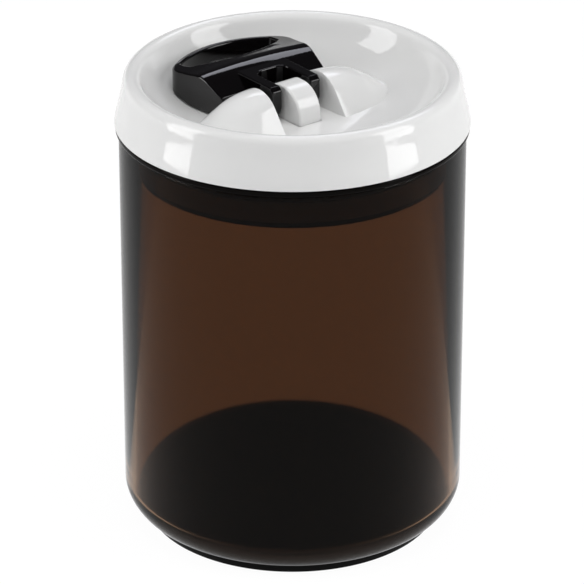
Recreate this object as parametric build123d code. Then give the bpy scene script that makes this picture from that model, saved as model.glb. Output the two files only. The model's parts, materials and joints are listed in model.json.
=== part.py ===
from build123d import *
import os
from math import acos, asin, cos, degrees, pi, radians, sin, sqrt, tan

# Airtight coffee canister: a tinted jar and a round lid whose flip handle works a seal.
# Millimetres. Origin at the centre of the foot, +Z up, the handle's hinge along X,
# and the closed handle pointing to +Y.

# Jar
jar_radius = 60.0
jar_height = 147.4
jar_wall = 2.7
jar_corner_radius = 11.0
jar_floor_thickness = 3.3
jar_floor_fillet = 5.0
foot_inset = 7.8
foot_height = 2.3
foot_width = 6.0
foot_recess_depth = 5.5
mouth_rounding = 0.6

# Lid base: the dark flange on the mouth and the plug below it
flange_thickness = 2.75
flange_overhang = 1.2
flange_rounding = 1.1
upstand_gap = 0.6
upstand_width = 2.2
upstand_height = 2.5
base_wall = 2.4
neck_height = 2.0
neck_gap = 3.8
seat_thickness = 1.5
seat_gap = 1.6
plug_depth = 8.8
disc_thickness = 2.0

# Lid cover: the white dish with its raised rim and two humps
cover_wall = 2.4
cover_overhang = 1.47
cover_height = 17.4
rim_lean = 0.15
shoulder_lean = 0.3
shoulder_inset = 2.65
shoulder_drop = 5.0
crest_inset = 6.27
brink_inset = 3.6
brink_drop = 3.35
dish_depth = 16.05
dish_floor_radius = 33.0
hump_height = 12.2
hump_top_radius = 10.8
hump_slope = 53.0
hump_length = 31.0
hump_inner_face = 11.9
hump_inner_bulge = 1.2
hump_ridge = 1.5
hump_back = 8.0

# Handle: a cam lever with two arms and a finger hole
pin_y = 2.1
pin_height = 7.3
seal_travel = 2.8
cam_gap = 0.2
arm_gap = 12.4
arm_width = 4.15
arm_top = 5.4
arm_chamfer = 1.45
arm_rounding = 0.5
slot_end = 13.6
slot_corner = 3.5
handle_width = 45.0
handle_back_width = 51.0
handle_front = 10.5
handle_front_height = 8.9
ridge_front = 17.0
ridge_front_height = 12.3
ridge_top = 21.5
ridge_top_height = 13.9
ridge_back = 28.0
ridge_back_height = 13.2
handle_back = 46.5
handle_back_height = 11.1
handle_arc_radius = 36.0
handle_corner = 7.0
handle_crown_radius = 300.0
handle_rounding = 0.8
handle_bottom_gap = 0.8
underside_rise_start = 26.0
underside_back_gap = 6.1
handle_wall = 2.4
finger_hole_front = 28.4
finger_hole_width = 39.0
finger_hole_side = 33.2
finger_hole_corner = 1.5
back_bar = 2.4

# Hinge pin and stem
pin_radius = 1.5
pin_end_gap = 0.15
pin_running_gap = 0.05
knuckle_width = 9.4
knuckle_height = 12.0
knuckle_front = -10.0
knuckle_back = 7.5
knuckle_top_radius = 9.5
knuckle_back_radius = 6.0
knuckle_rounding = 0.8
knuckle_slot_gap = 0.3
knuckle_depth = 4.1
stem_radius = 4.0
stem_running_gap = 0.08
guide_wall = 2.9
guide_height = 3.4
seal_ring_thickness = 1.6
seal_ring_depth = 1.2
seal_ring_gap = 0.05

# Gasket, seal plate, spring, and the screw that holds the plate to the stem
gasket_height = 7.7
gasket_width = 6.7
gasket_bore_gap = 0.3
gasket_bulge = 0.8
gasket_inner_gap = 0.3
plate_thickness = 2.4
plate_bore_gap = 1.7
plate_rounding = 1.0
plate_ring_width = 1.4
plate_ring_height = 2.0
plate_ring_gap = 0.2
boss_radius = 14.0
boss_thickness = 4.8
well_depth = 1.4
spring_radius = 10.0
spring_wire = 1.0
spring_turns = 3.5
spring_side_gap = 1.2
spring_pocket = 2.9
spring_end_gap = 0.05
screw_radius = 1.9
screw_hole_gap = 0.1
screw_head_radius = 3.6
screw_head_height = 1.8
screw_length = 9.0
driver_recess_width = 1.0
driver_recess_depth = 0.9
washer_radius = 4.5
washer_thickness = 0.8
counterbore_radius = 7.0
counterbore_depth = 3.2
cap_radius = 8.4
cap_thickness = 1.0
cap_ring_width = 0.9
cap_ring_height = 1.5
cap_ring_gap = 0.05

# Screws that hold the base to the cover
base_screw_count = 4
base_screw_circle = 28.0
base_screw_radius = 1.2
base_screw_hole_gap = 0.3
base_screw_head_radius = 2.8
base_screw_head_height = 1.6
base_screw_bite = 6.0
pillar_radius = 3.2

# Levels and radii worked out from the sizes above
jar_bore = jar_radius - jar_wall
foot_radius = jar_radius - foot_inset
jar_floor = foot_recess_depth + jar_floor_thickness
flange_top = jar_height + flange_thickness
seat_top = jar_height - neck_height
gasket_top = seat_top - seat_thickness
gasket_bottom = gasket_top - gasket_height
disc_bottom = jar_height - plug_depth
disc_top = disc_bottom + disc_thickness
plug_radius = jar_bore - gasket_bore_gap - gasket_width - gasket_inner_gap
cover_radius = jar_radius + cover_overhang
crest_z = flange_top + cover_height
dish_floor = crest_z - dish_depth
dish_underside = dish_floor - cover_wall
pin_z = dish_floor + pin_height
pin_length = arm_gap + 2 * arm_width - 2 * pin_end_gap
knuckle_top = dish_floor + knuckle_height
knuckle_bottom = dish_floor - knuckle_depth
guide_top = disc_top + guide_height
guide_bore = stem_radius + stem_running_gap
guide_radius = guide_bore + guide_wall
spring_clear_radius = spring_radius + spring_wire / 2 + spring_side_gap
pocket_roof = disc_bottom + spring_pocket
plate_top = gasket_bottom
plate_bottom = plate_top - plate_thickness
well_floor = plate_top - well_depth
boss_bottom = well_floor - boss_thickness
web_bottom = boss_bottom + counterbore_depth


def turned(flat):
    """The solid made by turning a flat section of radius and height about the Z axis."""
    return revolve(Plane.XZ * flat, Axis.Z)


def polygon(*points):
    """A flat face with straight sides."""
    return make_face(Polyline(*points, close=True))


def rounded(flat, radius, *corners):
    """The flat face with the corners nearest to these points rounded."""
    for corner in corners:
        flat = fillet(flat.vertices().sort_by_distance(corner)[0], radius)
    return flat


def drum(radius, bottom, top, x=0, y=0):
    """An upright round bar between two levels."""
    return Pos(x, y, bottom) * Cylinder(radius, top - bottom, align=(Align.CENTER, Align.CENTER, Align.MIN))


def tube(outer, inner, bottom, top):
    """An upright round tube between two levels."""
    return drum(outer, bottom, top) - drum(inner, bottom, top)


def block(left, right, front, back, bottom, top):
    """A box between three pairs of faces."""
    corner = (Align.MIN, Align.MIN, Align.MIN)
    return Pos(left, front, bottom) * Box(right - left, back - front, top - bottom, align=corner)


def side_slab(flat, left, right):
    """A slab between two values of X, with an outline of Y and height."""
    return Pos(left, 0, 0) * extrude(Plane.YZ * flat, right - left)


def both_sides(solid):
    """The solid and its mirror image across X = 0."""
    return solid + mirror(solid, Plane.YZ)


def make_jar():
    corner_z = foot_height + jar_corner_radius
    corner_r = jar_radius - jar_corner_radius
    foot_top = corner_z - sqrt(jar_corner_radius**2 - (foot_radius - corner_r) ** 2)
    foot_inner = foot_radius - foot_width
    corner_middle = acos((foot_radius - corner_r) / jar_corner_radius) / 2
    outside = ThreePointArc(
        (foot_radius, foot_top),
        (corner_r + jar_corner_radius * cos(corner_middle), corner_z - jar_corner_radius * sin(corner_middle)),
        (jar_radius, corner_z),
    )
    wall = Polyline((jar_radius, corner_z), (jar_radius, jar_height), (jar_bore, jar_height), (jar_bore, jar_floor))
    base = Polyline(
        (jar_bore, jar_floor),
        (0, jar_floor),
        (0, foot_recess_depth),
        (foot_inner, foot_recess_depth),
        (foot_inner, 0),
        (foot_radius, 0),
        (foot_radius, foot_top),
    )
    flat = make_face([outside, *wall.edges(), *base.edges()])
    flat = rounded(flat, jar_floor_fillet, (jar_bore, jar_floor))
    flat = rounded(flat, mouth_rounding, (jar_radius, jar_height), (jar_bore, jar_height))
    flat = rounded(flat, mouth_rounding, (foot_inner, 0), (foot_radius, 0))
    return turned(flat)


def at_base_screws(solid):
    """Copies of a solid at the screws that hold the base to the cover."""
    places = PolarLocations(base_screw_circle, base_screw_count, start_angle=180 / base_screw_count)
    return [place * solid for place in places]


def make_lid_base():
    neck = jar_bore - neck_gap
    seat = jar_bore - seat_gap
    flange = jar_radius + flange_overhang
    upstand = cover_radius - cover_wall - upstand_gap
    upstand_top = flange_top + upstand_height
    hub = spring_clear_radius + base_wall
    flat = polygon(
        (guide_bore, disc_bottom),
        (guide_bore, guide_top),
        (hub, guide_top),
        (hub, disc_top),
        (plug_radius - base_wall, disc_top),
        (plug_radius - base_wall, seat_top),
        (neck - base_wall, seat_top),
        (neck - base_wall, flange_top),
        (upstand - upstand_width, flange_top),
        (upstand - upstand_width, upstand_top),
        (upstand, upstand_top),
        (upstand, flange_top),
        (flange, flange_top),
        (flange, jar_height),
        (neck, jar_height),
        (neck, seat_top),
        (seat, seat_top),
        (seat, gasket_top),
        (plug_radius, gasket_top),
        (plug_radius, disc_bottom),
        (spring_clear_radius, disc_bottom),
        (spring_clear_radius, pocket_roof),
        (guide_radius, pocket_roof),
        (guide_radius, disc_bottom),
    )
    flat = rounded(flat, flange_rounding, (flange, flange_top), (flange, jar_height))
    solid = turned(flat)
    groove_top = guide_top - seal_ring_depth + seal_ring_gap
    groove_bottom = guide_top - seal_ring_depth - seal_ring_thickness - seal_ring_gap
    groove_radius = stem_radius + seal_ring_thickness + 2 * seal_ring_gap
    solid -= drum(groove_radius, groove_bottom, groove_top)
    hole = drum(base_screw_radius + base_screw_hole_gap, disc_bottom, disc_top)
    return solid - at_base_screws(hole)


def cover_curves(inset):
    """The cover's section from the foot of the rim to the dish's floor, drawn in by an inset."""
    crest_r = cover_radius - crest_inset
    brink_r = crest_r - brink_inset
    brink_z = crest_z - brink_drop
    run = brink_r - dish_floor_radius
    rise = brink_z - dish_floor
    slope_radius = (run**2 + rise**2) / (2 * rise)
    slope_centre_z = dish_floor + slope_radius
    brink_turn = asin(run / slope_radius)

    def on_slope(turn):
        reach = slope_radius + inset
        return (dish_floor_radius + reach * sin(turn), slope_centre_z - reach * cos(turn))

    shoulder = (cover_radius - shoulder_inset - inset, crest_z - shoulder_drop - shoulder_lean * inset)
    crest = (crest_r, crest_z - inset)
    brink = on_slope(brink_turn)
    rim = Spline((cover_radius - inset, flange_top), shoulder, crest, tangents=((-rim_lean, 1), (-1, 0)))
    lip = Spline(crest, brink, tangents=((-1, 0), (-cos(brink_turn), -sin(brink_turn))))
    slope = ThreePointArc(brink, on_slope(brink_turn / 2), on_slope(0))
    return [rim, lip, slope]


def bell(inset, bottom, reach):
    """A round top on straight flanks, drawn in by an inset and stretched along X to a reach."""
    slope = radians(hump_slope)
    top = dish_floor + hump_height - inset
    top_radius = hump_top_radius - inset
    centre_z = top - top_radius
    middle = (top_radius * sin(slope / 2), centre_z + top_radius * cos(slope / 2))
    flank = (top_radius * sin(slope), centre_z + top_radius * cos(slope))
    floor_reach = flank[0] + (flank[1] - dish_floor) / tan(slope)
    foot = (flank[0] + (flank[1] - bottom) / tan(slope), bottom)
    crown = ThreePointArc((0, top), middle, flank)
    rest = Polyline(flank, foot, (0, bottom), (0, top))
    solid = turned(make_face([crown, *rest.edges()]))
    return scale(solid, by=(reach / floor_reach, 1, 1))


def hump_part(solid, inner, outer, back):
    """The part of a bell between two values of X and up to a value of Y, moved to its place."""
    top = dish_floor + hump_height
    keep = block(inner, outer, -hump_length, back, dish_underside, top)
    return Pos(hump_inner_face + hump_inner_bulge, hump_ridge, 0) * (solid & keep)


def make_hump():
    """One hump: a long outer side and a slightly bulged inner face."""
    bottom = dish_floor - cover_wall / 2
    back = hump_back - hump_ridge
    long_reach = hump_length - hump_inner_bulge
    outer = hump_part(bell(0, bottom, long_reach), 0, 2 * hump_length, back)
    inner = hump_part(bell(0, bottom, hump_inner_bulge), -hump_length, 0, back)
    return outer + inner


def hump_hollow():
    """The hollow under one hump, open below."""
    reach = hump_length - hump_inner_bulge - cover_wall
    inner = cover_wall - hump_inner_bulge
    back = hump_back - hump_ridge - cover_wall
    return hump_part(bell(cover_wall, dish_underside, reach), inner, 2 * hump_length, back)


def make_lid_cover():
    dish = [(dish_floor_radius, dish_floor), (0, dish_floor), (0, dish_underside), (dish_floor_radius, dish_underside)]
    foot = Line((cover_radius - cover_wall, flange_top), (cover_radius, flange_top))
    skin = make_face([*cover_curves(0), *Polyline(*dish).edges(), *cover_curves(cover_wall), foot])
    solid = turned(skin)
    solid += both_sides(make_hump())
    solid -= both_sides(hump_hollow())
    half_slot = knuckle_width / 2 + knuckle_slot_gap
    solid -= block(
        -half_slot,
        half_slot,
        knuckle_front - knuckle_slot_gap,
        knuckle_back + knuckle_slot_gap,
        dish_underside - cover_wall,
        dish_floor + cover_wall,
    )
    pillar = drum(pillar_radius, disc_top, dish_underside)
    bite = drum(base_screw_radius, disc_top, disc_top + base_screw_bite)
    return solid + at_base_screws(pillar) - at_base_screws(bite)


def make_base_screws():
    head = drum(base_screw_head_radius, disc_bottom - base_screw_head_height, disc_bottom)
    shank = drum(base_screw_radius, disc_bottom, disc_top + base_screw_bite)
    recess = driver_recess(disc_bottom - base_screw_head_height, base_screw_head_radius)
    return Compound(at_base_screws(head + shank - recess))


def driver_recess(bottom, head_radius):
    """The cross recess in the underside of a screw's head."""
    arm = Box(head_radius, driver_recess_width, driver_recess_depth, align=(Align.CENTER, Align.CENTER, Align.MIN))
    return Pos(0, 0, bottom) * (arm + Rot(0, 0, 90) * arm)


def make_gasket():
    inner = plug_radius + gasket_inner_gap
    outer = jar_bore - gasket_bore_gap
    middle = (gasket_bottom + gasket_top) / 2
    bulge = ThreePointArc((outer - gasket_bulge, gasket_bottom), (outer, middle), (outer - gasket_bulge, gasket_top))
    rest = Polyline(
        (outer - gasket_bulge, gasket_top),
        (inner, gasket_top),
        (inner, gasket_bottom),
        (outer - gasket_bulge, gasket_bottom),
    )
    return turned(make_face([bulge, *rest.edges()]))


def make_seal_plate():
    plate = jar_bore - plate_bore_gap
    ring_outer = plug_radius + gasket_inner_gap - plate_ring_gap
    ring_inner = ring_outer - plate_ring_width
    ring_top = plate_top + plate_ring_height
    hole = screw_radius + screw_hole_gap
    flat = polygon(
        (hole, well_floor),
        (spring_clear_radius, well_floor),
        (spring_clear_radius, plate_top),
        (ring_inner, plate_top),
        (ring_inner, ring_top),
        (ring_outer, ring_top),
        (ring_outer, plate_top),
        (plate, plate_top),
        (plate, plate_bottom),
        (boss_radius, plate_bottom),
        (boss_radius, boss_bottom),
        (counterbore_radius, boss_bottom),
        (counterbore_radius, web_bottom),
        (hole, web_bottom),
    )
    flat = rounded(flat, plate_rounding, (plate, plate_bottom), (boss_radius, boss_bottom))
    return turned(flat)


def make_return_spring():
    coil_bottom = well_floor + spring_end_gap + spring_wire / 2
    coil_top = pocket_roof - spring_end_gap - spring_wire / 2
    rise = coil_top - coil_bottom
    path = Pos(0, 0, coil_bottom) * Helix(rise / spring_turns, rise, spring_radius)
    wire = Plane(path @ 0, z_dir=path % 0) * Circle(spring_wire / 2)
    return sweep(wire, path)


def make_plate_screw():
    head_top = web_bottom - washer_thickness
    head_bottom = head_top - screw_head_height
    head = drum(screw_head_radius, head_bottom, head_top)
    shank = drum(screw_radius, head_top, head_top + screw_length)
    return head + shank - driver_recess(head_bottom, screw_head_radius)


def make_plate_washer():
    return tube(washer_radius, screw_radius + screw_hole_gap, web_bottom - washer_thickness, web_bottom)


def make_screw_cap():
    ring_outer = counterbore_radius - cap_ring_gap
    ring = tube(ring_outer, ring_outer - cap_ring_width, boss_bottom, boss_bottom + cap_ring_height)
    return drum(cap_radius, boss_bottom - cap_thickness, boss_bottom) + ring


def make_seal_ring():
    top = guide_top - seal_ring_depth
    half = seal_ring_thickness / 2
    middle_radius = stem_radius + seal_ring_gap + half
    return Pos(0, 0, top - half) * Torus(middle_radius, half)


def make_stem():
    flat = polygon(
        (knuckle_front, knuckle_bottom),
        (knuckle_front, knuckle_top),
        (knuckle_back, knuckle_top),
        (knuckle_back, knuckle_bottom),
    )
    flat = rounded(flat, knuckle_top_radius, (knuckle_front, knuckle_top))
    flat = rounded(flat, knuckle_back_radius, (knuckle_back, knuckle_top))
    head = side_slab(flat, -knuckle_width / 2, knuckle_width / 2)
    above_slot = head.edges().filter_by_position(Axis.Z, dish_floor + seal_travel, knuckle_top)
    upper = above_slot.filter_by(GeomType.CIRCLE)
    head = fillet(upper, knuckle_rounding)
    rod = drum(stem_radius, well_floor, knuckle_bottom)
    bite_top = web_bottom - washer_thickness + screw_length
    bite = drum(screw_radius, well_floor, bite_top)
    pin_hole = Pos(0, pin_y, pin_z) * Rot(0, 90, 0) * Cylinder(pin_radius, 2 * knuckle_width)
    return head + rod - bite - pin_hole


def make_hinge_pin():
    return Pos(0, pin_y, pin_z) * Rot(0, 90, 0) * Cylinder(pin_radius, pin_length)


def cam_point(turn):
    """A point of the cam under the pin: the floor's distance falls steadily as the handle turns."""
    lift = seal_travel / (pi / 2)
    reach = pin_height - cam_gap - lift * turn
    return (
        pin_y - reach * sin(turn) + lift * cos(turn),
        pin_z - reach * cos(turn) - lift * sin(turn),
    )


def arm_outline():
    """One arm from the side: the flat top, the chamfered front and the cam below the pin."""
    front = cam_point(pi / 2)[0]
    heel = cam_point(0)
    toe = cam_point(pi / 2)
    top = pin_z + arm_top
    root = ridge_top
    cam = Spline(*[cam_point(pi / 2 * step / 6) for step in range(7)], tangents=((-1, 0), (0, 1)))
    rest = Polyline(
        toe,
        (front, top - arm_chamfer),
        (front + arm_chamfer, top),
        (root, top),
        (root, heel[1]),
        heel,
    )
    return make_face([cam, *rest.edges()])


def handle_plan():
    """The handle's outline from above: sides that spread a little towards a round back."""
    half_front = handle_width / 2
    half_back = handle_back_width / 2
    centre_y = handle_back - handle_arc_radius
    side_end = centre_y + sqrt(handle_arc_radius**2 - half_back**2)
    back = ThreePointArc((half_back, side_end), (0, handle_back), (-half_back, side_end))
    rest = Polyline(
        (-half_back, side_end),
        (-half_front, handle_front),
        (half_front, handle_front),
        (half_back, side_end),
    )
    flat = make_face([back, *rest.edges()])
    return rounded(flat, handle_corner, (half_back, side_end), (-half_back, side_end))


def handle_top():
    """The solid under the handle's top: a ridge behind the arms, crowned from side to side."""
    low = dish_floor - handle_back
    front_top = (handle_front, dish_floor + handle_front_height)
    ridge_start = (ridge_front, dish_floor + ridge_front_height)
    ridge_middle = (ridge_top, dish_floor + ridge_top_height)
    ridge_end = (ridge_back, dish_floor + ridge_back_height)
    back_top = (handle_back, dish_floor + handle_back_height)
    rise = (ridge_start[0] - front_top[0], ridge_start[1] - front_top[1])
    fall = (back_top[0] - ridge_end[0], back_top[1] - ridge_end[1])
    ridge = Spline(ridge_start, ridge_middle, ridge_end, tangents=(rise, fall))
    rest = Polyline(ridge_end, back_top, (handle_back, low), (handle_front, low), front_top, ridge_start)
    axis = Axis((0, 0, ridge_middle[1] - handle_crown_radius), (0, 1, 0))
    half_turn = degrees(asin(handle_back_width / handle_crown_radius))
    solid = revolve(Plane.YZ * make_face([ridge, *rest.edges()]), axis, 2 * half_turn)
    return solid.rotate(axis, -half_turn)


def handle_side():
    """The handle's side outline without its ridge: flat below, rising under the finger hole."""
    bottom = dish_floor + handle_bottom_gap
    high = dish_floor + handle_back
    return polygon(
        (handle_front, bottom),
        (underside_rise_start, bottom),
        (handle_back, dish_floor + underside_back_gap),
        (handle_back, high),
        (handle_front, high),
    )


def finger_hole():
    """The finger hole's outline from above, which leaves a thin bar at the back."""
    half = finger_hole_width / 2
    centre_y = handle_back - handle_arc_radius
    inner_radius = handle_arc_radius - back_bar
    back_end = centre_y + sqrt(inner_radius**2 - half**2)
    back = ThreePointArc((half, back_end), (0, centre_y + inner_radius), (-half, back_end))
    front = ThreePointArc((-half, finger_hole_side), (0, finger_hole_front), (half, finger_hole_side))
    left = Line((-half, back_end), (-half, finger_hole_side))
    right = Line((half, finger_hole_side), (half, back_end))
    corners = [(side, y) for side in (-half, half) for y in (back_end, finger_hole_side)]
    return rounded(make_face([back, left, front, right]), finger_hole_corner, *corners)


def top_outline(solid):
    """The edges where a solid's top faces meet its upright walls."""
    tops = [face for face in solid.faces() if face.normal_at().Z > 0.3]
    walls = [face for face in solid.faces() if abs(face.normal_at().Z) < 0.3]
    wall_edges = [edge for face in walls for edge in face.edges()]
    return [edge for face in tops for edge in face.edges() if edge in wall_edges]


def make_handle():
    low = dish_floor - handle_back
    high = dish_floor + handle_back
    outline = Pos(0, 0, low) * extrude(handle_plan() - finger_hole(), high - low)
    side = side_slab(handle_side(), -handle_back_width / 2, handle_back_width / 2)
    body = outline & handle_top() & side
    body = fillet(top_outline(body), handle_rounding)

    slot_length = slot_end - knuckle_front
    slot = Rectangle(arm_gap, slot_length)
    slot = fillet(slot.vertices().group_by(Axis.Y)[-1], slot_corner)
    slot = Pos(0, slot_end - slot_length / 2, low) * extrude(slot, high - low)
    half_arms = arm_gap / 2 + arm_width
    arms = side_slab(arm_outline(), -half_arms, half_arms) - slot
    arm_edges = arms.edges().filter_by_position(Axis.Z, pin_z, pin_z + arm_top)
    arms = fillet(arm_edges.filter_by_position(Axis.Y, pin_y - pin_height, ridge_top - arm_rounding), arm_rounding)

    solid = body - slot + arms
    pin_hole = Cylinder(pin_radius + pin_running_gap, handle_width)
    solid -= Pos(0, pin_y, pin_z) * Rot(0, 90, 0) * pin_hole
    solid -= block(
        handle_wall - handle_width / 2,
        handle_width / 2 - handle_wall,
        slot_end + handle_wall,
        finger_hole_front - handle_wall,
        low,
        dish_floor + ridge_front_height - handle_wall,
    )
    return solid


nodes = {
    "jar": make_jar,
    "lid_base": make_lid_base,
    "lid_cover": make_lid_cover,
    "base_screws": make_base_screws,
    "gasket": make_gasket,
    "seal_plate": make_seal_plate,
    "return_spring": make_return_spring,
    "plate_screw": make_plate_screw,
    "plate_washer": make_plate_washer,
    "screw_cap": make_screw_cap,
    "stem_seal_ring": make_seal_ring,
    "stem": make_stem,
    "hinge_pin": make_hinge_pin,
    "handle": make_handle,
}

os.makedirs("parts", exist_ok=True)
for name, make in nodes.items():
    export_step(make(), f"parts/{name}.step")
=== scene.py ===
import json
from math import cos, pi, radians, sin

import bmesh
import bpy
from mathutils import Matrix, Vector


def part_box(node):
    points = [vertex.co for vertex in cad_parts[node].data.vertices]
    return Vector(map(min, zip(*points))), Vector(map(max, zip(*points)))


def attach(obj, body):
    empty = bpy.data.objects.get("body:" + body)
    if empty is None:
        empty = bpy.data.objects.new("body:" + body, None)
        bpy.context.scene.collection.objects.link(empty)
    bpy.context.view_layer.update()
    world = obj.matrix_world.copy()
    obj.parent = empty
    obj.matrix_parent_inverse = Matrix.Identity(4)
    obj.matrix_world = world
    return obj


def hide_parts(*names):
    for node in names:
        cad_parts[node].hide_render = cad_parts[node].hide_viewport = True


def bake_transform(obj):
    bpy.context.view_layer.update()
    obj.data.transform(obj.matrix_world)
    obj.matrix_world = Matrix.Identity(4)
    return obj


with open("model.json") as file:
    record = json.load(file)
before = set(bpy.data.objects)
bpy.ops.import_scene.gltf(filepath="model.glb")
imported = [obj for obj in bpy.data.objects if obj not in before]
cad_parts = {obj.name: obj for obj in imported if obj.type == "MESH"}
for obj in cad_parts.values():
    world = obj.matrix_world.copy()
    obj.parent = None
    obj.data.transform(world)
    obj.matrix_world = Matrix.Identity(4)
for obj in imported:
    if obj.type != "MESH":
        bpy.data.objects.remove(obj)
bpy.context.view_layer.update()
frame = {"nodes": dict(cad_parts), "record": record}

# The origin is the centre of the foot, and Z is up. Sizes are in metres,
# apart from those of the jar and the gasket, which are in millimetres.
MM = 0.001

# Camera
PICTURE_WIDTH = 584
CAMERA_TURN = radians(-38)
CAMERA_PLACE = Vector((-0.7962, -1.0191, 0.7117))
CAMERA_PITCH = radians(25.908)
CAMERA_LENS = 252.1
CAMERA_SHIFT = -0.6 / PICTURE_WIDTH
CAMERA_CLIP_START = 0.1

# Jar, in millimetres
JAR_RADIUS = 60
JAR_INNER_RADIUS = 57.3
JAR_MOUTH = 147.4
JAR_FLOOR = 8.8
WALL_BOTTOM = 5.15
FOOT_RADIUS = 52.2
FOOT_INNER_RADIUS = 46.2
FOOT_TOP = 2.78
RECESS_ROOF = 5.5
WALL_CORNER = 8.1
FLOOR_CORNER = 5
JAR_EDGE = 0.6

# Gasket, in millimetres
GASKET_BULGE_RADIUS = 57.0
GASKET_RADIUS = 56.2
GASKET_INNER_RADIUS = 50.3
GASKET_TOP = 143.9
GASKET_MIDDLE = 140.05
GASKET_BOTTOM = 136.2
GASKET_BULGE_CORNER = 3.4
GASKET_EDGE = 0.5

# Spring
SPRING_RADIUS = 0.010
SPRING_TURNS = 3.5
SPRING_WIRE_RADIUS = 0.0005
SPRING_WIRE_SIDES = 12
SPRING_STEPS_PER_TURN = 48

# Fineness of the turned pieces
TURN_STEPS = 192
LARGE_ROUND_STEPS = 14
ROUND_STEPS = 8
EDGE_STEPS = 3
MERGE_DISTANCE = 0.000001
SHARP_ANGLE = radians(32)

# Surface of the moulded pieces
RIPPLE_SIZE = 60.0
RIPPLE_DETAIL = 2.0
GRAIN_SIZE = 900.0
GRAIN_DETAIL = 4.0
GRAIN_HEIGHT = 0.04
NOISE_MIDDLE = 0.5
BUMP_STRENGTH = 0.02
BUMP_DEPTH = 0.0002

# Plain finishes: colour, worn colour, roughness, and how far the roughness varies
FINISHES = {
    "white_plastic": ((0.82, 0.82, 0.81), (0.80, 0.80, 0.795), 0.07, 0.02),
    "dark_plastic": ((0.003, 0.0025, 0.0022), (0.005, 0.004, 0.0035), 0.08, 0.04),
    "handle_plastic": ((0.0014, 0.0010, 0.0012), (0.0026, 0.0018, 0.0020), 0.05, 0.04),
    "silicone": ((0.045, 0.043, 0.042), (0.055, 0.052, 0.05), 0.45, 0.04),
    "steel": ((0.55, 0.55, 0.56), (0.5, 0.5, 0.5), 0.3, 0.04),
}
DARK_PLASTIC_IOR = 1.1

# See-through brown plastic: the base colour within the base radius or below the base height, a
# deeper tint for the thick base with painted shade for the shadowed table under the jar, and the
# wall tint outside the wall radius and above the wall height
WALL_TINT = (0.215, 0.13, 0.078)
BASE_SHADE_AND_TINT = (0.0006, 0.0004, 0.0003)
BASE_SHADE_AND_TINT_RADIUS = 0.0518
WALL_TINT_RADIUS = 0.0532
BASE_SHADE_AND_TINT_HEIGHT = 0.0062
WALL_TINT_HEIGHT = 0.0078
TINTED_PLASTIC_IOR = 1.16
TINTED_PLASTIC_ROUGHNESS = 0.02
TINTED_PLASTIC_SPREAD = 0.01

# Table, a hair below the foot so that the two don't coincide
TABLE_REACH = 6
TABLE_DROP = 0.0001
TABLE_MATT = (0.8, 0.8, 0.8)
TABLE_GLOW = 0.93
TABLE_WHITE = 1.04

# Room, by the height of the direction looked in: white at the horizon and dark above
ROOM_WHITE_UP_TO = 0.06
ROOM_DARK_FROM = 0.14
ROOM_WHITE = (1, 1, 1)
ROOM_DARK = (0.05, 0.05, 0.055)

# Lamps
LAMP_AIM = Vector((0, 0, 0.12))
LAMP_DISTANCE = 1.3
COOL_WHITE = (0.90, 0.91, 1.0)


def turned_from_camera(degrees):
    """The level direction this many degrees to the right of the one from the jar to the camera."""
    angle = CAMERA_TURN + radians(degrees)
    return Vector((sin(angle), -cos(angle), 0))


def make_camera():
    """The camera that frames the canister as the photograph does."""
    camera = bpy.data.objects.new("camera", bpy.data.cameras.new("camera"))
    camera.data.lens = CAMERA_LENS
    camera.data.shift_x = CAMERA_SHIFT
    camera.data.clip_start = CAMERA_CLIP_START
    camera.location = CAMERA_PLACE
    ahead = Vector((
        -sin(CAMERA_TURN) * cos(CAMERA_PITCH),
        cos(CAMERA_TURN) * cos(CAMERA_PITCH),
        -sin(CAMERA_PITCH),
    ))
    camera.rotation_euler = ahead.to_track_quat("-Z", "Y").to_euler()
    bpy.context.scene.collection.objects.link(camera)
    bpy.context.scene.camera = camera


def math_node(tree, operation, *values, clamp=False):
    """Work out numbers or other nodes' outputs with one maths node, and give its output."""
    node = tree.nodes.new("ShaderNodeMath")
    node.operation = operation
    node.use_clamp = clamp
    for socket, value in zip(node.inputs, values):
        if isinstance(value, bpy.types.NodeSocket):
            tree.links.new(value, socket)
        else:
            socket.default_value = value
    return node.outputs[0]


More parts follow.
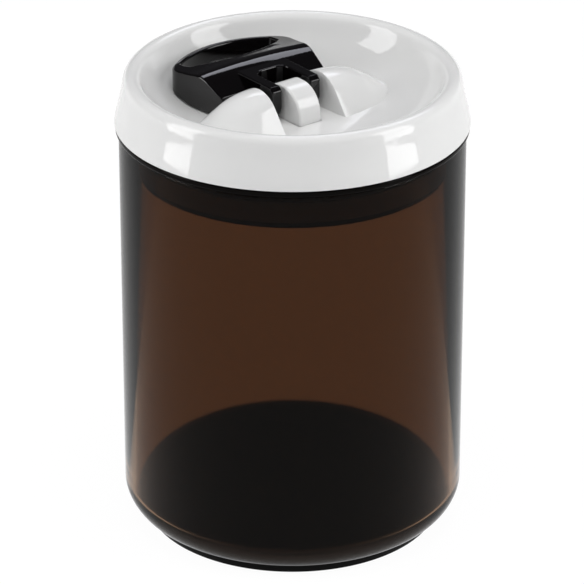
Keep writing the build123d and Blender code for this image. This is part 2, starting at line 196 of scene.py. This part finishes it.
def surface_group():
    """Moulded plastic's surface: a slow ripple that shifts the colour, and a fine grain."""
    group = bpy.data.node_groups.new("moulded_surface", "ShaderNodeTree")
    sockets = group.interface
    sockets.new_socket("Colour", in_out="INPUT", socket_type="NodeSocketColor")
    sockets.new_socket("Worn Colour", in_out="INPUT", socket_type="NodeSocketColor")
    for name in ("Roughness", "Roughness Spread", "Ripple Size", "Grain Size"):
        sockets.new_socket(name, in_out="INPUT", socket_type="NodeSocketFloat")
    sockets.new_socket("Colour", in_out="OUTPUT", socket_type="NodeSocketColor")
    sockets.new_socket("Roughness", in_out="OUTPUT", socket_type="NodeSocketFloat")
    sockets.new_socket("Height", in_out="OUTPUT", socket_type="NodeSocketFloat")
    nodes, links = group.nodes, group.links
    given = nodes.new("NodeGroupInput")
    result = nodes.new("NodeGroupOutput")
    place = nodes.new("ShaderNodeTexCoord")

    def noise(size_socket, detail):
        node = nodes.new("ShaderNodeTexNoise")
        node.inputs["Detail"].default_value = detail
        links.new(place.outputs["Object"], node.inputs["Vector"])
        links.new(given.outputs[size_socket], node.inputs["Scale"])
        return node.outputs["Fac"]

    ripple = noise("Ripple Size", RIPPLE_DETAIL)
    grain = noise("Grain Size", GRAIN_DETAIL)
    mix = nodes.new("ShaderNodeMix")
    mix.data_type = "RGBA"
    links.new(ripple, mix.inputs["Factor"])
    links.new(given.outputs["Colour"], mix.inputs["A"])
    links.new(given.outputs["Worn Colour"], mix.inputs["B"])
    links.new(mix.outputs["Result"], result.inputs["Colour"])
    centred = math_node(group, "SUBTRACT", grain, NOISE_MIDDLE)
    spread, roughness = given.outputs["Roughness Spread"], given.outputs["Roughness"]
    varied = math_node(group, "MULTIPLY_ADD", centred, spread, roughness)
    links.new(varied, result.inputs["Roughness"])
    height = math_node(group, "MULTIPLY_ADD", grain, GRAIN_HEIGHT, ripple)
    links.new(height, result.inputs["Height"])
    return group


SURFACE = surface_group()


def shader_of(material):
    """The Principled shader of a material."""
    return material.node_tree.nodes["Principled BSDF"]


def moulded(name, colour, worn, roughness, spread):
    """A material for a moulded piece, with its own colour and gloss on the shared surface."""
    material = bpy.data.materials.new(name)
    material.use_nodes = True
    nodes, links = material.node_tree.nodes, material.node_tree.links
    shader = shader_of(material)
    surface = nodes.new("ShaderNodeGroup")
    surface.node_tree = SURFACE
    surface.inputs["Colour"].default_value = (*colour, 1)
    surface.inputs["Worn Colour"].default_value = (*worn, 1)
    surface.inputs["Roughness"].default_value = roughness
    surface.inputs["Roughness Spread"].default_value = spread
    surface.inputs["Ripple Size"].default_value = RIPPLE_SIZE
    surface.inputs["Grain Size"].default_value = GRAIN_SIZE
    links.new(surface.outputs["Colour"], shader.inputs["Base Color"])
    links.new(surface.outputs["Roughness"], shader.inputs["Roughness"])
    raised = nodes.new("ShaderNodeBump")
    raised.inputs["Strength"].default_value = BUMP_STRENGTH
    raised.inputs["Distance"].default_value = BUMP_DEPTH
    links.new(surface.outputs["Height"], raised.inputs["Height"])
    links.new(raised.outputs["Normal"], shader.inputs["Normal"])
    return material


def tinted_plastic():
    """The jar's see-through brown plastic, darker through its base: a deeper tint for the thicker
    plastic and painted shade for the shadowed table under the jar.
    """
    material = moulded(
        "tinted_plastic", WALL_TINT, WALL_TINT, TINTED_PLASTIC_ROUGHNESS, TINTED_PLASTIC_SPREAD
    )
    nodes, links = material.node_tree.nodes, material.node_tree.links
    shader = shader_of(material)
    shader.inputs["Transmission Weight"].default_value = 1.0
    shader.inputs["IOR"].default_value = TINTED_PLASTIC_IOR
    surface = shader.inputs["Base Color"].links[0].from_node
    place = nodes.new("ShaderNodeTexCoord")
    flat = nodes.new("ShaderNodeVectorMath")
    flat.operation = "MULTIPLY"
    flat.inputs[1].default_value = (1, 1, 0)
    links.new(place.outputs["Object"], flat.inputs[0])
    radius = nodes.new("ShaderNodeVectorMath")
    radius.operation = "LENGTH"
    links.new(flat.outputs["Vector"], radius.inputs[0])
    split = nodes.new("ShaderNodeSeparateXYZ")
    links.new(place.outputs["Object"], split.inputs[0])

    def fade(measure, base_end, wall_start):
        level = nodes.new("ShaderNodeMapRange")
        level.interpolation_type = "SMOOTHSTEP"
        level.inputs["From Min"].default_value = base_end
        level.inputs["From Max"].default_value = wall_start
        links.new(measure, level.inputs["Value"])
        return level.outputs["Result"]

    # Painted shade: the base goes near black, as the shadowed table under the jar makes it look,
    # on top of the thicker plastic's deeper tint.
    outwards = fade(radius.outputs["Value"], BASE_SHADE_AND_TINT_RADIUS, WALL_TINT_RADIUS)
    upwards = fade(split.outputs["Z"], BASE_SHADE_AND_TINT_HEIGHT, WALL_TINT_HEIGHT)
    tint = nodes.new("ShaderNodeMix")
    tint.data_type = "RGBA"
    tint.inputs["A"].default_value = (*BASE_SHADE_AND_TINT, 1)
    links.new(math_node(material.node_tree, "MINIMUM", outwards, upwards), tint.inputs["Factor"])
    links.new(surface.outputs["Colour"], tint.inputs["B"])
    links.new(tint.outputs["Result"], shader.inputs["Base Color"])
    return material


def make_materials():
    """Every material, by the name of its slot."""
    made = {slot: moulded(slot, *finish) for slot, finish in FINISHES.items()}
    shader_of(made["dark_plastic"]).inputs["IOR"].default_value = DARK_PLASTIC_IOR
    shader_of(made["steel"]).inputs["Metallic"].default_value = 1.0
    made["tinted_plastic"] = tinted_plastic()
    return made


MATERIALS = make_materials()


def finish_piece(name, bm, body, slot, *replaced):
    """Turn a closed bmesh into a smooth piece that stands for CAD nodes and rides on a body."""
    bmesh.ops.remove_doubles(bm, verts=bm.verts, dist=MERGE_DISTANCE)
    bmesh.ops.recalc_face_normals(bm, faces=bm.faces)
    mesh = bpy.data.meshes.new(name)
    bm.to_mesh(mesh)
    bm.free()
    mesh.polygons.foreach_set("use_smooth", [True] * len(mesh.polygons))
    mesh.set_sharp_from_angle(angle=SHARP_ANGLE)
    mesh.materials.append(MATERIALS[slot])
    piece = bpy.data.objects.new(name, mesh)
    bpy.context.scene.collection.objects.link(piece)
    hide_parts(*replaced)
    if body:
        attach(piece, body)
    return piece


def wire(bm, outline, closed):
    """Join points of radius and height, given in millimetres, into one line of edges."""
    corners = [bm.verts.new((radius * MM, 0, height * MM)) for radius, height in outline]
    for start, end in zip(corners, corners[1:]):
        bm.edges.new((start, end))
    if closed:
        bm.edges.new((corners[-1], corners[0]))
    return corners


def round_corners(bm, corners, reach, segments):
    """Round corners of a line, each from this many millimetres before it to as many after."""
    bmesh.ops.bevel(
        bm,
        geom=corners,
        offset=reach * MM,
        offset_type="OFFSET",
        segments=segments,
        profile=0.5,
        affect="VERTICES",
        material=-1,
    )


def turn_about_axis(bm):
    """Turn a line all the way round the canister's axis."""
    bmesh.ops.spin(
        bm,
        geom=bm.verts[:] + bm.edges[:],
        cent=(0, 0, 0),
        axis=(0, 0, 1),
        angle=2 * pi,
        steps=TURN_STEPS,
        use_merge=True,
    )


def make_jar():
    """The jar, with its floor, rounded lower corner and foot ring, turned from one outline."""
    bm = bmesh.new()
    outline = [
        (0, JAR_FLOOR),
        (JAR_INNER_RADIUS, JAR_FLOOR),
        (JAR_INNER_RADIUS, JAR_MOUTH),
        (JAR_RADIUS, JAR_MOUTH),
        (JAR_RADIUS, WALL_BOTTOM),
        (FOOT_RADIUS, FOOT_TOP),
        (FOOT_RADIUS, 0),
        (FOOT_INNER_RADIUS, 0),
        (FOOT_INNER_RADIUS, RECESS_ROOF),
        (0, RECESS_ROOF),
    ]
    corners = wire(bm, outline, closed=False)
    floor_corner, mouth_inside, mouth_outside, wall_corner = corners[1:5]
    foot_outside, foot_inside = corners[6:8]
    round_corners(bm, [wall_corner], WALL_CORNER, LARGE_ROUND_STEPS)
    round_corners(bm, [floor_corner], FLOOR_CORNER, ROUND_STEPS)
    edges = [mouth_inside, mouth_outside, foot_outside, foot_inside]
    round_corners(bm, edges, JAR_EDGE, EDGE_STEPS)
    turn_about_axis(bm)
    finish_piece("jar_shell", bm, "jar", "tinted_plastic", "jar")


def make_gasket():
    """The gasket, turned in the shape it has while squeezed out against the jar's wall."""
    bm = bmesh.new()
    outline = [
        (GASKET_BULGE_RADIUS, GASKET_MIDDLE),
        (GASKET_RADIUS, GASKET_TOP),
        (GASKET_INNER_RADIUS, GASKET_TOP),
        (GASKET_INNER_RADIUS, GASKET_BOTTOM),
        (GASKET_RADIUS, GASKET_BOTTOM),
    ]
    bulge, top_outside, _, _, bottom_outside = wire(bm, outline, closed=True)
    round_corners(bm, [bulge], GASKET_BULGE_CORNER, ROUND_STEPS)
    round_corners(bm, [top_outside, bottom_outside], GASKET_EDGE, EDGE_STEPS)
    turn_about_axis(bm)
    gasket = finish_piece("squeezed_gasket", bm, None, "silicone", "gasket")
    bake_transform(gasket)


def make_spring():
    """The spring round the stem's rod, a circle of wire wound upwards as it turns."""
    low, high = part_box("return_spring")
    steps = int(SPRING_TURNS * SPRING_STEPS_PER_TURN)
    bm = bmesh.new()
    bmesh.ops.create_circle(
        bm, cap_ends=True, radius=SPRING_WIRE_RADIUS, segments=SPRING_WIRE_SIDES
    )
    quarter_turn = Matrix.Rotation(pi / 2, 3, "X")
    bmesh.ops.rotate(bm, verts=bm.verts, cent=(0, 0, 0), matrix=quarter_turn)
    start = (SPRING_RADIUS, 0, low[2] + SPRING_WIRE_RADIUS)
    bmesh.ops.translate(bm, verts=bm.verts, vec=start)
    climb = (high[2] - low[2] - 2 * SPRING_WIRE_RADIUS) / steps
    bmesh.ops.spin(
        bm,
        geom=bm.verts[:] + bm.edges[:] + bm.faces[:],
        cent=(0, 0, 0),
        axis=(0, 0, 1),
        dvec=(0, 0, climb),
        angle=2 * pi * SPRING_TURNS,
        steps=steps,
    )
    spring = finish_piece("coiled_spring", bm, None, "steel", "return_spring")
    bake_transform(spring)


def make_floor():
    """A matt white table that looks evenly white, both straight on and in reflections."""
    mesh = bpy.data.meshes.new("floor")
    bm = bmesh.new()
    bmesh.ops.create_grid(bm, x_segments=1, y_segments=1, size=TABLE_REACH)
    bmesh.ops.translate(bm, verts=bm.verts, vec=(0, 0, -TABLE_DROP))
    bm.to_mesh(mesh)
    bm.free()
    floor = bpy.data.objects.new("floor", mesh)
    bpy.context.scene.collection.objects.link(floor)
    material = bpy.data.materials.new("floor")
    material.use_nodes = True
    tree = material.node_tree
    nodes, links = tree.nodes, tree.links
    nodes.clear()
    output = nodes.new("ShaderNodeOutputMaterial")
    matt = nodes.new("ShaderNodeBsdfDiffuse")
    matt.inputs["Color"].default_value = (*TABLE_MATT, 1)
    white = nodes.new("ShaderNodeEmission")
    white.inputs["Strength"].default_value = TABLE_WHITE
    rays = nodes.new("ShaderNodeLightPath").outputs
    seen = math_node(tree, "ADD", rays["Is Camera Ray"], rays["Is Transmission Ray"], clamp=True)
    mirrored = math_node(tree, "ADD", seen, rays["Is Glossy Ray"], clamp=True)
    share = math_node(tree, "MULTIPLY", mirrored, TABLE_GLOW)
    mix = nodes.new("ShaderNodeMixShader")
    links.new(share, mix.inputs["Fac"])
    links.new(matt.outputs[0], mix.inputs[1])
    links.new(white.outputs[0], mix.inputs[2])
    links.new(mix.outputs[0], output.inputs["Surface"])
    mesh.materials.append(material)


def make_world():
    """A room that is white at the horizon and dark above it."""
    world = bpy.data.worlds.new("studio")
    bpy.context.scene.world = world
    world.use_nodes = True
    nodes, links = world.node_tree.nodes, world.node_tree.links
    nodes.clear()
    output = nodes.new("ShaderNodeOutputWorld")
    room = nodes.new("ShaderNodeBackground")
    place = nodes.new("ShaderNodeTexCoord")
    split = nodes.new("ShaderNodeSeparateXYZ")
    links.new(place.outputs["Generated"], split.inputs[0])
    ramp = nodes.new("ShaderNodeValToRGB")
    low, high = ramp.color_ramp.elements
    low.position = ROOM_WHITE_UP_TO
    low.color = (*ROOM_WHITE, 1)
    high.position = ROOM_DARK_FROM
    high.color = (*ROOM_DARK, 1)
    links.new(split.outputs["Z"], ramp.inputs["Fac"])
    links.new(ramp.outputs["Color"], room.inputs["Color"])
    links.new(room.outputs[0], output.inputs["Surface"])


def softbox(name, turn, rise, width, height, level, colour=(1, 1, 1)):
    """A lamp aimed at the lid, turned to the camera's right and raised by these degrees.

    Its level is its power for each square metre of its face.
    """
    flat_way = turned_from_camera(turn)
    way = flat_way * cos(radians(rise)) + Vector((0, 0, sin(radians(rise))))
    lamp = bpy.data.lights.new(name, "AREA")
    lamp.shape = "RECTANGLE"
    lamp.size = width
    lamp.size_y = height
    lamp.energy = level * width * height
    lamp.color = colour
    holder = bpy.data.objects.new(name, lamp)
    holder.location = LAMP_AIM + way * LAMP_DISTANCE
    holder.rotation_euler = (-way).to_track_quat("-Z", "Y").to_euler()
    bpy.context.scene.collection.objects.link(holder)
    return holder


def make_lights():
    """Two tall softboxes at the sides, a small one behind and a fill that isn't mirrored."""
    softbox("left_softbox", turn=-76, rise=18, width=0.50, height=1.3, level=14)
    softbox("right_softbox", turn=72, rise=18, width=0.55, height=1.3, level=14)
    softbox(
        "back_softbox", turn=166, rise=46, width=0.60, height=0.30, level=10, colour=COOL_WHITE
    )
    fill = softbox("overhead_fill", turn=0, rise=79, width=1.2, height=1.2, level=7.4)
    fill.visible_glossy = False


def dress():
    """Give each CAD node the material of its slot."""
    for subpart in frame["record"]["subparts"]:
        node = frame["nodes"][subpart["node"]]
        node.data.materials.clear()
        node.data.materials.append(MATERIALS[subpart["material_slot"]])


make_camera()
make_world()
make_floor()
make_lights()
dress()
make_jar()
make_gasket()
make_spring()

bpy.context.scene.view_settings.view_transform = "Standard"
